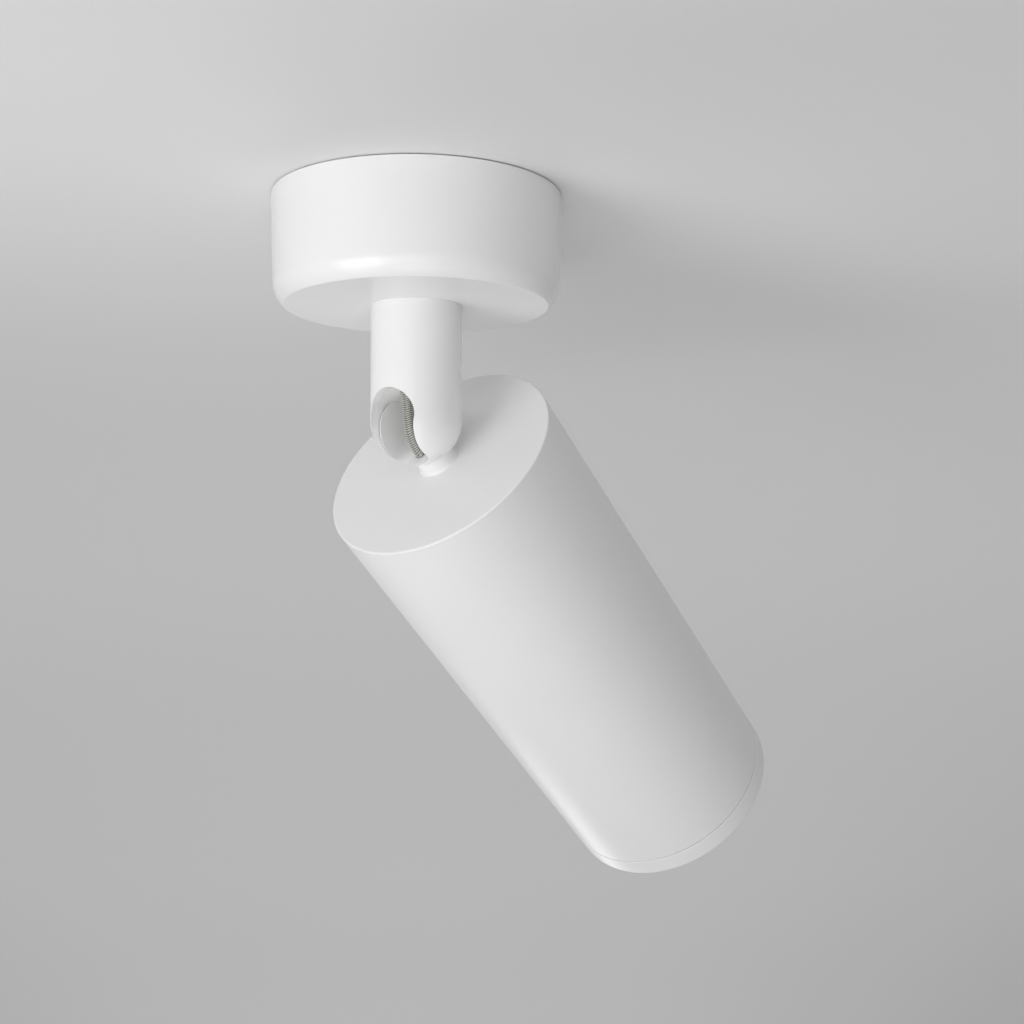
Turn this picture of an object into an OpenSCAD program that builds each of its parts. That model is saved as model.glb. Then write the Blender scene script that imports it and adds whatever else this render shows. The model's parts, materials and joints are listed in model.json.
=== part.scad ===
// Surface mounted ceiling spotlight: a round canopy, a swivelling stem and a
// cylindrical lamp head that tilts on a slotted ball joint.
// The origin is the centre of the ceiling face and +Z points up into the ceiling.

/* [Aim] */
// Direction that the head leans to, turned from +X about the stem
aim_pan = 50.9; // [0:0.1:360]
// Lean of the head away from hanging straight down
aim_tilt = 52.1; // [0:0.1:80]

/* [Canopy] */
// Diameter of the canopy at the ceiling
canopy_d = 70; // [66:1:100]
// How much less the canopy measures across at its lower face
canopy_draft = 1.4; // [0:0.2:3]
// Height of the canopy with the gap above it
canopy_h = 27; // [26:0.2:40]
// Radius of the lower edge
canopy_edge_r = 6.8; // [3:0.2:9]
// Height of the lower edge, where it meets the flat lower face at a crease
canopy_edge_h = 5.4; // [2:0.2:8]
// Thickness of the side wall
canopy_wall = 1.6; // [1.2:0.1:2.2]
// Thickness of the lower face
canopy_floor = 2; // [1.5:0.1:3]
// Shadow gap between the rim and the ceiling
ceiling_gap = 0.2; // [0.2:0.1:1]

/* [Ceiling bracket] */
// Width of the steel bar
bracket_w = 18; // [16:1:24]
// Thickness of the steel bar and its tabs
bracket_t = 1.5; // [1:0.1:2]
// Distance between the two ceiling screws
ceiling_pitch = 52; // [48:1:54]
// Radius of the ends of the ceiling slots
ceiling_slot_r = 2.2; // [1.6:0.1:2.6]
// Length of each ceiling slot from end to end
ceiling_slot_len = 8; // [6:0.5:9]
// How far the side tabs reach down
tab_drop = 13; // [12:0.5:16]
// Distance of the side screws below the ceiling
side_screw_drop = 9; // [8:0.5:10]

/* [Stem] */
// Diameter of the stem
stem_d = 22; // [21:0.5:24]
// Distance of the centre of the round end below the ceiling
dome_drop = 54.5; // [54:0.1:60]
// Width of the slot that the neck swings in
slot_w = 13.2; // [11:0.2:13.4]
// Wall left between the ball seat and the outside, at its thickest
seat_wall = 2.15; // [2:0.05:2.6]

/* [Ball joint] */
// Distance of the ball below the centre of the round end
ball_offset = 2.15; // [1:0.05:2.5]
// Width of the cable fork cut into the ball
fork_w = 10; // [8:0.5:10.5]
// Depth of the fork floor past the centre of the ball
fork_depth = 5; // [4:0.2:6]
// Diameter of the neck
neck_d = 10; // [8:0.5:10]
// Distance from the centre of the ball to the head
neck_len = 10.9; // [10.9:0.1:20]

/* [Head] */
// Diameter of the head
head_d = 60; // [58:1:70]
// Length of the head with its front ring
head_len = 138; // [132:1:160]
// Thickness of the tube wall
head_wall = 2; // [1.5:0.1:2.2]
// Thickness of the closed end
head_cap = 3; // [2:0.1:4]
// Radius of the edge of the closed end
head_edge_r = 1; // [0.5:0.1:1.8]
// Height of the front ring outside the tube
ring_h = 6; // [5:0.5:9]
// Seam between the tube and the front ring
ring_seam = 0.2; // [0.1:0.05:0.4]

/* [Lamp] */
// Diameter of the lamp at its face
lamp_d = 50; // [48:0.5:50]
// Length of the lamp without its pins
lamp_len = 46.5; // [44:0.5:50]
// Depth of the lamp face behind the front of the head
lamp_recess = 12; // [11:0.5:16]
// Distance between the centres of the two pins
pin_pitch = 10; // [9.5:0.1:10.5]
// Turn that locks the lamp
lock_turn = 18; // [10:1:24]

/* [Cable] */
// Diameter of the braided cable
cable_d = 2.9; // [2.4:0.1:3]

/* [Hidden] */
$fn = 96;

// Clearances and overrun
over = 1;
fit = 0.05;
running_gap = 0.1;
slack = 0.2;

// Levels down from the ceiling
canopy_r = canopy_d / 2;
canopy_floor_z = canopy_floor - canopy_h;
stem_top_z = -canopy_h - running_gap;
dome_z = -dome_drop;
pivot_z = dome_z - ball_offset;
stem_r = stem_d / 2;
seat_r = stem_r - seat_wall;
ball_r = seat_r - fit;
slot_r = slot_w / 2;
head_r = head_d / 2;
head_bore_r = head_r - head_wall;

// Bracket, its tabs and the side screws
bracket_clearance = 0.5;
bracket_corner_r = canopy_r - canopy_wall - bracket_clearance;
tab_w = 12;
tab_face_x = sqrt(pow(bracket_corner_r, 2) - pow(tab_w / 2, 2)) - bracket_clearance;
cable_entry_r = 4.5;
m3_r = 1.5;
m4_r = 2;
side_screw_len = 5;
side_screw_z = -side_screw_drop;
hex_key_af = 1.5;
hex_key_depth = 1.6;

// Terminal block and its wiring
block_depth = 14;
block_w = 22;
block_h = 10;
block_x = -14;
block_bottom_z = -bracket_t - block_h;
pole_pitch = 7;
pole_r = 1.6;
pole_drop = 6;
pole_z = -bracket_t - pole_drop;
lead_r = 0.8;
lead_fan = 1;
lead_start_gap = 0.7;
lead_rise_share = 0.7;
lead_bow_share = 0.8;
lead_reach = 3.2;
pole_screw_x = 3.6;
pole_screw_len = 2.6;
pole_screw_z = pole_z - lead_r - fit - pole_screw_len;
pole_well_depth = 4;
driver_slot_w = 0.6;
driver_slot_depth = 0.8;
rivet_r = 1.1;
rivet_head_r = 1.9;
rivet_head_h = 0.8;
rivet_y = pole_pitch / 2;
earth_x = 13;
earth_head_r = 3.5;
earth_head_h = 2.6;

// Swivel stack on the canopy floor, from the floor up
nipple_r = 5;
nipple_flat = 0.8;
friction_washer_t = 0.8;
stop_washer_t = 1.2;
spring_washer_t = 0.5;
spring_washer_rise = 1;
swivel_nut_t = 4;
swivel_nut_af = 14;
nipple_spare = 1.2;
washer_r = 9;
stop_pin_r = 1;
stop_pin_at = 12;
stop_tab_w = 2.4;
stop_washer_z = canopy_floor_z + friction_washer_t + fit;
spring_washer_z = stop_washer_z + stop_washer_t + fit;
swivel_nut_z = spring_washer_z + spring_washer_t + spring_washer_rise + fit;
nipple_top_z = swivel_nut_z + swivel_nut_t + nipple_spare;
collar_r = 4.5;
collar_h = 4;
collar_top_z = nipple_top_z + fit + collar_h;

// Plug in the top of the stem, the spring under it and the pad on the ball
plug_flange_t = 1.5;
plug_flange_rim = 1.3;
plug_flange_r = stem_r - plug_flange_rim;
plug_h = 6;
plug_bore_r = 3;
plug_z = stem_top_z - plug_h;
pad_h = 10.6;
pad_rise = 4.4;
pad_top_z = pivot_z + ball_r + pad_rise;
pad_side_gap = 0.1;
spring_wire_r = 0.6;
spring_turns = 4;
spring_steps = 12;
spring_r = seat_r - pad_side_gap - spring_wire_r - fit;
spring_low_z = pad_top_z + spring_wire_r + fit;
spring_high_z = plug_z - spring_wire_r - fit;

// Cable route in the plane of the tilt: distance from the stem axis and height
cable_r = cable_d / 2;
cable_hole_gap = 0.15;
cable_hole_r = cable_r + cable_hole_gap;
cable_at_pad = -3.5;
cable_at_floor = -3.05;
cable_at_cap = -1.1;
stem_route = [
    [0, -12], [0, -18], [0, -24], [0, -30], [-0.2, -33.5], [-1.3, -37],
    [-2.75, -40.2], [-3.4, -43], [-3.5, -45.5], [-3.5, -48], [-3.3, -50.4], [-3.05, -52.8],
    [-2.7, -55.2], [-2.1, -57.6], [-1, -59.6], [0.3, -61.1]
];
// The same route on in the head: distance from the head axis and height from the ball
head_route = [
    [-3.2, -4.2], [-3.05, -5], [-2.05, -8], [-1.1, -10.9], [-0.4, -14], [0, -18], [0, -26], [0, -34]
];
stem_cable_end = 9;
head_cable_start = len(stem_route) + 1;
stem_to_head = [for (p = head_route) [
    p[0] * cos(aim_tilt) - p[1] * sin(aim_tilt),
    0,
    pivot_z + p[0] * sin(aim_tilt) + p[1] * cos(aim_tilt)
]];
cable_route = concat([for (p = stem_route) [p[0], 0, p[1]]], stem_to_head);
cable_sides = 8;
cable_start = [0, 0, stem_route[0][1]];
cable_tail = head_route[len(head_route) - 1];

// Neck, stud and the stack inside the closed end
neck_r = neck_d / 2;
neck_flare = 0.6;
stud_r = 4;
stud_bore_r = 2.7;
stud_len = 12;
stud_bore_share = 0.2;
cap_z = -neck_len;
cap_inner_z = cap_z - head_cap;
strap_t = 1;
strap_w = 14;
strap_leg_x = 19;
strap_foot = 12;
strap_hole_x = 11;
neck_washer_t = 1.2;
neck_washer_r = 7.5;
neck_nut_t = 4;
neck_nut_af = 13;
neck_washer_z = cap_inner_z - strap_t - fit;
neck_nut_z = neck_washer_z - neck_washer_t - fit;

// Places along the head, down from the ball
front_z = cap_z - head_len;
tube_end_z = front_z + ring_h + ring_seam;
lamp_face_z = front_z + lamp_recess;
lamp_back_z = lamp_face_z + lamp_len;
holder_gap = 0.2;
holder_face_z = lamp_back_z + holder_gap;
holder_h = 25;
holder_r = 14;
holder_rim_r = 13;
holder_back_z = holder_face_z + holder_h;
holder_screw_len = 8;
holder_screw_head_r = 2.8;
holder_screw_head_h = 1.8;

// Lamp
lamp_r = lamp_d / 2;
lamp_rim_h = 4;
lamp_waist_r = 15;
lamp_base_h = 12;
lamp_base_r = 11.5;
lamp_bowl_wall = 1.6;
lamp_bowl_depth = 6;
lamp_bowl_r = 15;
lamp_steps = 8;
lens_rim = 2.5;
lens_r = lamp_r - lens_rim;
lens_t = 2;
lens_sink = 0.8;
pin_r = 1.5;
pin_shaft = 3.8;
pin_head_r = 2.4;
pin_head_h = 2.6;
pin_slack = 0.25;
holder_lip = 3;
well_depth = 8;
contact_t = 0.6;
contact_w = 3.4;

// Front ring, its O-ring and the seal behind its lip
ring_spigot_r = head_bore_r - running_gap;
ring_lip_reach = 2.6;
ring_lip_r = lamp_r - ring_lip_reach;
ring_lip_t = 1.6;
seal_t = 1;
seal_w = 1.8;
seal_gap = 0.15;
ring_lip_z = lamp_face_z - seal_t - seal_gap * 2;
ring_mouth_wall = 2.6;
ring_mouth_r = head_r - ring_mouth_wall;
ring_edge = 0.5;
o_ring_r = 0.5;
o_ring_back = 2.2;
o_ring_seat_r = head_bore_r - fit / 2 - o_ring_r;
o_ring_groove_r = o_ring_seat_r - o_ring_r - fit;

// Places a piece of the stem, whose X is the direction of the tilt
module on_stem() {
    rotate([0, 0, aim_pan]) children();
}

// Places a piece of the head, drawn hanging with the ball at the origin
module on_head() {
    on_stem() translate([0, 0, pivot_z]) rotate([0, -aim_tilt, 0]) children();
}

// Round bar from one height to another
module bar(r, from_z, to_z) {
    translate([0, 0, min(from_z, to_z)]) cylinder(r = r, h = abs(to_z - from_z));
}

// Flat ring from one height to another
module collar(outer_r, inner_r, from_z, to_z) {
    difference() {
        bar(outer_r, from_z, to_z);
        bar(inner_r, min(from_z, to_z) - over, max(from_z, to_z) + over);
    }
}

// Hexagonal nut with a round hole
module hex_nut(af, hole_r, from_z, to_z) {
    difference() {
        translate([0, 0, from_z]) cylinder(d = af / cos(30), h = to_z - from_z, $fn = 6);
        bar(hole_r, from_z - over, to_z + over);
    }
}

// Half section of a round cup with a drafted side and one rounded lower edge
module cup_section(open_r, shut_r, depth, edge_r, lift) {
    draft = atan((open_r - shut_r) / depth);
    centre_z = edge_r - depth;
    centre_x = open_r + centre_z * tan(draft) - edge_r / cos(draft);
    reach = edge_r + over;
    difference() {
        polygon([
            [0, lift],
            [open_r + lift * tan(draft), lift],
            [shut_r, -depth],
            [0, -depth]
        ]);
        difference() {
            polygon([
                [centre_x, centre_z],
                [centre_x + reach * cos(draft), centre_z - reach * sin(draft)],
                [shut_r + over, -depth - over],
                [centre_x, -depth - over]
            ]);
            translate([centre_x, centre_z]) circle(r = edge_r);
        }
    }
}

// Direction, ring of points and tube along a route
function unit(v) = v / norm(v);
function tangent(route, i) = unit(route[min(i + 1, len(route) - 1)] - route[max(i - 1, 0)]);
function tube_ring(route, i, radius, sides, side_axis) =
    let (along = tangent(route, i), across = unit(cross(side_axis, along)), lift = cross(along, across))
    [for (k = [0 : sides - 1]) route[i] + radius * (cos(360 * k / sides) * across
        + sin(360 * k / sides) * lift)];

module tube_along(route, first, last, radius, sides, side_axis) {
    rings = last - first;
    tube_points = [for (i = [first : last]) each tube_ring(route, i, radius, sides, side_axis)];
    start_face = [for (k = [0 : sides - 1]) k];
    end_face = [for (k = [sides - 1 : -1 : 0]) rings * sides + k];
    side_faces = [for (j = [0 : rings - 1], k = [0 : sides - 1]) [
        j * sides + k,
        (j + 1) * sides + k,
        (j + 1) * sides + (k + 1) % sides,
        j * sides + (k + 1) % sides
    ]];
    polyhedron(points = tube_points, faces = concat([start_face], side_faces, [end_face]));
}

// Slot through the round end in the plane of the tilt, with a semicircular top
module neck_slot() {
    slot_len = 2 * (stem_r + over);
    translate([-slot_len / 2, 0, dome_z]) rotate([0, 90, 0]) cylinder(r = slot_r, h = slot_len);
    translate([-slot_len / 2, -slot_r, dome_z - stem_r - over])
        cube([slot_len, slot_w, stem_r + over]);
}

// Steel bar across the ceiling with two slots and two threaded side tabs
module mounting_bracket() {
    color("gainsboro") difference() {
        union() {
            translate([0, 0, -bracket_t]) intersection() {
                bar(bracket_corner_r, 0, bracket_t);
                translate([-tab_face_x, -bracket_w / 2, 0])
                    cube([2 * tab_face_x, bracket_w, bracket_t]);
            }
            for (side = [0, 180]) rotate([0, 0, side])
                translate([tab_face_x - bracket_t, -tab_w / 2, -tab_drop])
                    cube([bracket_t, tab_w, tab_drop]);
        }
        bar(cable_entry_r, -bracket_t - over, over);
        for (side = [-1, 1]) translate([side * ceiling_pitch / 2, 0, 0]) {
            slot_shift = ceiling_slot_len / 2 - ceiling_slot_r;
            for (end = [-1, 1]) translate([end * slot_shift, 0, 0])
                bar(ceiling_slot_r, -bracket_t - over, over);
            translate([-slot_shift, -ceiling_slot_r, -bracket_t - over])
                cube([2 * slot_shift, 2 * ceiling_slot_r, bracket_t + 2 * over]);
        }
        translate([earth_x, 0, 0]) bar(m4_r + fit, -bracket_t - over, over);
        for (side = [-1, 1]) translate([block_x, side * rivet_y, 0])
            bar(rivet_r + fit, -bracket_t - over, over);
        translate([-tab_face_x - over, 0, side_screw_z]) rotate([0, 90, 0])
            cylinder(r = m3_r + fit, h = 2 * (tab_face_x + over));
    }
}

// Plastic block of three poles, each with a through hole and two screw wells
module terminal_block() {
    color("ivory") difference() {
        translate([block_x - block_depth / 2, -block_w / 2, block_bottom_z])
            cube([block_depth, block_w, block_h]);
        for (pole = [-1 : 1]) translate([block_x, pole * pole_pitch, 0]) {
            translate([-block_depth / 2 - over, 0, pole_z]) rotate([0, 90, 0])
                cylinder(r = pole_r, h = block_depth + 2 * over);
            for (side = [-1, 1]) translate([side * pole_screw_x, 0, 0])
                bar(m3_r + fit, block_bottom_z - over, block_bottom_z + pole_well_depth);
        }
        for (side = [-1, 1]) translate([block_x, side * rivet_y, 0]) {
            bar(rivet_r + fit, block_bottom_z - over, over - bracket_t);
            bar(rivet_head_r + slack, block_bottom_z - over, block_bottom_z + rivet_head_h + fit);
        }
    }
}

// Six clamping screws in the wells of the block
module terminal_screws() {
    color("goldenrod") for (pole = [-1 : 1], side = [-1, 1])
        translate([block_x + side * pole_screw_x, pole * pole_pitch, pole_screw_z]) difference() {
            bar(m3_r, 0, pole_screw_len);
            translate([-m3_r - over, -driver_slot_w / 2, -over])
                cube([2 * (m3_r + over), driver_slot_w, driver_slot_depth + over]);
        }
}

// Two hollow rivets that hold the block under the bracket
module block_rivets() {
    color("silver") for (side = [-1, 1]) translate([block_x, side * rivet_y, 0]) {
        bar(rivet_r, block_bottom_z + fit, 0);
        bar(rivet_head_r, block_bottom_z + fit, block_bottom_z + rivet_head_h);
    }
}

// Earth screw, threaded into the bracket from below
module earth_screw() {
    head_z = -bracket_t - fit;
    color("goldenrod") translate([earth_x, 0, 0]) difference() {
        union() {
            bar(m4_r, head_z, 0);
            bar(earth_head_r, head_z - earth_head_h, head_z);
        }
        translate([-earth_head_r - over, -driver_slot_w / 2, head_z - earth_head_h - over])
            cube([2 * (earth_head_r + over), driver_slot_w, driver_slot_depth + over]);
    }
}

// Round cover with a drafted side and a soft lower edge
module canopy() {
    shut_r = canopy_r - canopy_draft / 2;
    depth = canopy_h - ceiling_gap;
    edge_spare = canopy_edge_r - min(canopy_edge_r, canopy_edge_h);
    color("whitesmoke") difference() {
        translate([0, 0, -ceiling_gap]) rotate_extrude()
            cup_section(canopy_r, shut_r, depth + edge_spare, canopy_edge_r, 0);
        bar(canopy_r, -canopy_h - edge_spare - over, -canopy_h);
        translate([0, 0, -ceiling_gap]) rotate_extrude()
            cup_section(canopy_r - canopy_wall, shut_r - canopy_wall, depth - canopy_floor,
                canopy_edge_r - canopy_wall, over);
        bar(nipple_r + slack, -canopy_h - over, 0);
        translate([-canopy_r - over, 0, side_screw_z]) rotate([0, 90, 0])
            cylinder(r = m3_r + slack, h = 2 * (canopy_r + over));
        translate([-stop_pin_at, 0, 0])
            bar(stop_pin_r + fit, canopy_floor_z - canopy_floor / 2, 0);
    }
}

// Two headless hexagon socket screws, level with the canopy wall
module canopy_screws() {
    wall_x = canopy_r - canopy_draft / 2 * side_screw_drop / canopy_h;
    screw_x = wall_x - running_gap - side_screw_len;
    color("silver") for (side = [0, 180]) rotate([0, 0, side])
        translate([screw_x, 0, side_screw_z]) rotate([0, 90, 0]) difference() {
            cylinder(r = m3_r, h = side_screw_len);
            translate([0, 0, side_screw_len - hex_key_depth])
                cylinder(d = hex_key_af / cos(30), h = hex_key_depth + over, $fn = 6);
        }
}

// Pin in the canopy floor that limits the swivel
module swivel_stop_pin() {
    color("silver") translate([-stop_pin_at, 0, 0])
        bar(stop_pin_r, canopy_floor_z - canopy_floor / 2 + fit, spring_washer_z);
}

// Three insulated leads from the end of the cable to the terminal block
module supply_leads() {
    block_face_x = block_x + block_depth / 2;
    start_z = cable_start[2] + lead_start_gap;
    rise_z = start_z + (pole_z - start_z) * lead_rise_share;
    for (pole = [-1 : 1]) color(pole == 0 ? "yellowgreen" : (pole < 0 ? "steelblue" : "sienna")) {
        tube_along(
            [
                [pole == 0 ? -lead_fan : lead_fan / 2, pole * lead_fan, start_z],
                [-lead_fan, pole * (lead_fan + pole_pitch) / 4, rise_z],
                [block_face_x / 2, pole * pole_pitch * lead_bow_share, pole_z],
                [block_face_x + lead_r, pole * pole_pitch, pole_z],
                [block_face_x - lead_reach, pole * pole_pitch, pole_z]
            ],
            0, 4, lead_r, cable_sides, [0, 1, 0]);
    }
}

// Round post with a ball seat in its slotted, hemispherical end
module stem() {
    color("whitesmoke") on_stem() difference() {
        rotate_extrude() {
            translate([0, dome_z]) square([stem_r, stem_top_z - dome_z]);
            translate([0, dome_z]) intersection() {
                circle(r = stem_r);
                translate([0, -stem_r]) square([stem_r, stem_r]);
            }
        }
        bar(seat_r, pivot_z, stem_top_z + over);
        translate([0, 0, pivot_z]) sphere(r = seat_r);
        bar(plug_flange_r + fit, stem_top_z - plug_flange_t, stem_top_z + over);
        neck_slot();
    }
}

// Threaded plug with the hollow nipple that passes through the canopy
module stem_cap() {
    color("silver") on_stem() difference() {
        union() {
            bar(plug_flange_r, stem_top_z - plug_flange_t + fit, stem_top_z);
            bar(seat_r - fit, plug_z, stem_top_z);
            bar(nipple_r, stem_top_z, nipple_top_z);
        }
        bar(plug_bore_r, plug_z - over, nipple_top_z + over);
        translate([nipple_r - nipple_flat, -nipple_r - over, stop_washer_z])
            cube([nipple_flat + over, 2 * (nipple_r + over), nipple_top_z - stop_washer_z + over]);
    }
}

// Plastic washer that the swivel turns on
module swivel_friction_washer() {
    color("dimgray") on_stem()
        collar(washer_r, nipple_r + slack, canopy_floor_z + fit / 2,
            canopy_floor_z + friction_washer_t);
}

// Washer keyed to the flat of the nipple, with the tab that meets the stop pin
module swivel_stop_washer() {
    tab_reach = stop_pin_at + stop_pin_r;
    color("silver") rotate([0, 0, aim_pan]) difference() {
        union() {
            bar(washer_r, stop_washer_z, stop_washer_z + stop_washer_t);
            rotate([0, 0, -aim_pan]) translate([0, -stop_tab_w / 2, stop_washer_z])
                cube([tab_reach, stop_tab_w, stop_washer_t]);
        }
        difference() {
            bar(nipple_r + fit, stop_washer_z - over, spring_washer_z + over);
            translate([nipple_r - nipple_flat + fit, -nipple_r - over, stop_washer_z - 2 * over])
                cube([nipple_flat + over, 2 * (nipple_r + over), stop_washer_t + 4 * over]);
        }
    }
}

// Coned spring washer under the nut
module swivel_spring_washer() {
    inner_r = nipple_r + slack;
    color("silver") on_stem() translate([0, 0, spring_washer_z]) rotate_extrude() polygon([
        [inner_r, spring_washer_rise],
        [inner_r, spring_washer_rise + spring_washer_t],
        [washer_r, spring_washer_t],
        [washer_r, 0]
    ]);
}

// Nut that holds the stem up in the canopy
module swivel_nut() {
    color("silver") on_stem()
        hex_nut(swivel_nut_af, nipple_r + fit, swivel_nut_z, swivel_nut_z + swivel_nut_t);
}

// Clamped collar that keeps the cable from being pulled down
module cable_collar() {
    color("dimgray") on_stem()
        collar(collar_r, cable_r + fit, nipple_top_z + fit, collar_top_z);
}

// Spring that presses the pad on to the ball
module pad_spring() {
    rise = spring_high_z - spring_low_z;
    steps = spring_turns * spring_steps;
    coil = [for (i = [0 : steps]) [
        spring_r * cos(360 * i / spring_steps),
        spring_r * sin(360 * i / spring_steps),
        spring_low_z + rise * i / steps
    ]];
    color("silver") on_stem() tube_along(coil, 0, steps, spring_wire_r, 6, [0, 0, 1]);
}

// Pad that clamps the ball, hollowed for the ball, the neck slot and the cable
module friction_pad() {
    color("lightgray") on_stem() difference() {
        bar(seat_r - pad_side_gap, pad_top_z - pad_h, pad_top_z);
        translate([0, 0, pivot_z]) sphere(r = seat_r);
        neck_slot();
        translate([cable_at_pad, 0, 0])
            bar(cable_hole_r, pad_top_z - pad_h - over, pad_top_z + over);
    }
}

// Cable from the collar down through the stem to the pad
module cable_stem() {
    color("darkgray") on_stem()
        tube_along(cable_route, 0, stem_cable_end, cable_r, cable_sides, [0, 1, 0]);
}

// Bare bend of the cable from the pad to the floor of the fork
module cable_bend() {
    color("darkgray") on_stem()
        tube_along(cable_route, stem_cable_end, head_cable_start, cable_r, cable_sides, [0, 1, 0]);
}

// Cable from the floor of the fork through the neck into the head
module cable_head() {
    color("darkgray") on_stem()
        tube_along(cable_route, head_cable_start, len(cable_route) - 1, cable_r, cable_sides,
            [0, 1, 0]);
}

// Ball with its cable fork, neck and hollow stud, turned from one bar
module ball_neck() {
    cable_lean = atan((cable_at_cap - cable_at_floor) / (neck_len - fork_depth));
    color("whitesmoke") on_head() difference() {
        rotate_extrude() {
            intersection() {
                circle(r = ball_r);
                translate([0, -ball_r]) square([ball_r, 2 * ball_r]);
            }
            translate([0, cap_z]) square([neck_r, neck_len]);
            difference() {
                translate([0, cap_z]) square([neck_r + neck_flare, neck_flare]);
                translate([neck_r + neck_flare, cap_z + neck_flare]) circle(r = neck_flare);
            }
            translate([0, cap_z - stud_len]) square([stud_r, stud_len]);
        }
        translate([-ball_r - over, -fork_w / 2, -fork_depth])
            cube([2 * (ball_r + over), fork_w, fork_depth + ball_r + over]);
        bar(stud_bore_r, cap_z - stud_len - over, cap_z + neck_len * stud_bore_share);
        translate([cable_at_floor, 0, -fork_depth]) rotate([0, -cable_lean, 0])
            bar(cable_hole_r, -neck_len / 2, over * 2);
    }
}

// Washer on the strap inside the head
module neck_washer() {
    color("silver") on_head()
        collar(neck_washer_r, stud_r + slack, neck_washer_z, neck_washer_z - neck_washer_t);
}

// Nut on the stud of the neck
module neck_nut() {
    color("silver") on_head()
        hex_nut(neck_nut_af, stud_r + fit, neck_nut_z - neck_nut_t, neck_nut_z);
}

// Tube of the head with the rounded edge of its closed end
module head_housing() {
    tube_len = cap_z - tube_end_z;
    color("whitesmoke") on_head() difference() {
        translate([0, 0, tube_end_z]) mirror([0, 0, 1]) rotate_extrude()
            cup_section(head_r, head_r, tube_len, head_edge_r, 0);
        bar(head_bore_r, tube_end_z - over, cap_z + over);
    }
}

// Disc pressed into the end of the tube, flush with its edge
module head_cap_disc() {
    color("whitesmoke") on_head()
        collar(head_bore_r - fit, stud_r + slack, cap_inner_z, cap_z);
}

// Steel strap that hangs the lampholder from the closed end
module holder_strap() {
    plate_z = cap_inner_z - strap_t;
    foot_z = holder_back_z;
    color("silver") on_head() difference() {
        union() {
            translate([-strap_leg_x, -strap_w / 2, plate_z])
                cube([2 * strap_leg_x, strap_w, strap_t - fit]);
            for (side = [0, 180]) rotate([0, 0, side]) {
                translate([strap_leg_x - strap_t, -strap_w / 2, foot_z])
                    cube([strap_t, strap_w, plate_z + strap_t - fit - foot_z]);
                translate([strap_leg_x - strap_foot, -strap_w / 2, foot_z])
                    cube([strap_foot, strap_w, strap_t]);
            }
        }
        bar(stud_r + slack, plate_z - over, cap_inner_z + over);
        for (side = [-1, 1]) translate([side * strap_hole_x, 0, 0])
            bar(m3_r + slack, foot_z - over, foot_z + strap_t + over);
    }
}

// Two screws through the feet of the strap into the lampholder
module holder_screws() {
    head_z = holder_back_z + strap_t + fit;
    color("silver") on_head() for (side = [-1, 1]) translate([side * strap_hole_x, 0, 0])
        difference() {
            union() {
                bar(m3_r, head_z - holder_screw_len, head_z);
                bar(holder_screw_head_r, head_z, head_z + holder_screw_head_h);
            }
            translate([-holder_screw_head_r, -driver_slot_w / 2,
                head_z + holder_screw_head_h - driver_slot_depth])
                cube([2 * holder_screw_head_r, driver_slot_w, driver_slot_depth + over]);
        }
}

// Arc that a pin sweeps while the lamp turns, with its round ends
module pin_track(r, from_z, to_z) {
    path_r = pin_pitch / 2;
    reach = 2 * path_r + r;
    translate([0, 0, min(from_z, to_z)]) linear_extrude(height = abs(to_z - from_z))
        for (side = [0, 180]) rotate(side - lock_turn) {
            intersection() {
                difference() {
                    circle(r = path_r + r);
                    circle(r = path_r - r);
                }
                polygon([[0, 0], [reach, 0], [reach * cos(lock_turn), reach * sin(lock_turn)]]);
            }
            for (turn = [0, lock_turn]) rotate(turn) translate([path_r, 0]) circle(r = r);
        }
}

// Ceramic body of the lampholder with two round wells for the heads of the pins
module lampholder() {
    well_z = holder_face_z + holder_lip;
    well_r = pin_head_r + pin_slack + pin_pitch / 2 * sin(lock_turn / 2);
    color("antiquewhite") on_head() difference() {
        bar(holder_r, well_z, holder_back_z - fit);
        for (side = [0, 180]) rotate([0, 0, side - lock_turn / 2]) translate([pin_pitch / 2, 0, 0])
            bar(well_r, well_z - over, well_z + well_depth);
        for (side = [-1, 1]) translate([side * strap_hole_x, 0, 0])
            bar(m3_r + fit, holder_back_z - holder_screw_len, holder_back_z + over);
        for (side = [-1, 1]) translate([side * pin_pitch / 2, 0, 0])
            bar(lead_r + slack, well_z + well_depth - over, holder_back_z + over);
    }
}

// Ceramic face of the lampholder with two keyholes that hold the heads of the pins
module holder_face() {
    face_back_z = holder_face_z + holder_lip - fit;
    color("antiquewhite") on_head() difference() {
        bar(holder_rim_r, holder_face_z, face_back_z);
        pin_track(pin_r + pin_slack, holder_face_z - over, face_back_z + over);
        for (side = [0, 180]) rotate([0, 0, side - lock_turn]) translate([pin_pitch / 2, 0, 0])
            bar(pin_head_r + pin_slack, holder_face_z - over, face_back_z + over);
    }
}

// Two sprung contacts in the wells, behind the locked ends of the keyholes
module holder_contacts() {
    back_z = holder_face_z + holder_lip + well_depth;
    color("goldenrod") on_head() for (side = [0, 180]) rotate([0, 0, side])
        translate([pin_pitch / 2 - contact_w / 2, -contact_w / 2, back_z - fit - contact_t])
            cube([contact_w, contact_w, contact_t]);
}

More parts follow.
